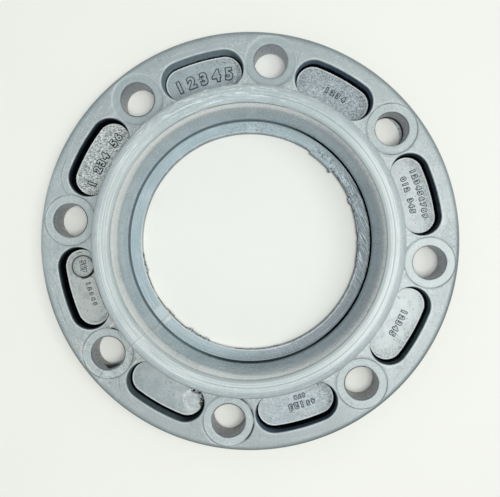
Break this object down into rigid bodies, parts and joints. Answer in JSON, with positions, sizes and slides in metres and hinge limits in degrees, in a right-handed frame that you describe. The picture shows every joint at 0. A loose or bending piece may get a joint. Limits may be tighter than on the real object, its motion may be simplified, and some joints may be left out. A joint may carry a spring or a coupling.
{
  "type": "socket flange",
  "caption": "Moulded plastic pipe flange with a solvent-cement socket hub, drilled bolt ring and cored kidney-shaped pockets.",
  "frame": {"origin": "centre of the flat sealing face that meets the gasket", "axes": "+Z along the pipe axis towards the socket mouth; bolt holes straddle +X and +Y"},
  "size_m": [0.2794, 0.2794, 0.085],
  "materials": {
    "moulded_pvc": "satin light grey moulded PVC with fine scuffs on its edges"
  },
  "bodies": {
    "root": {"flange": "moulded_pvc"}
  },
  "joints": []
}
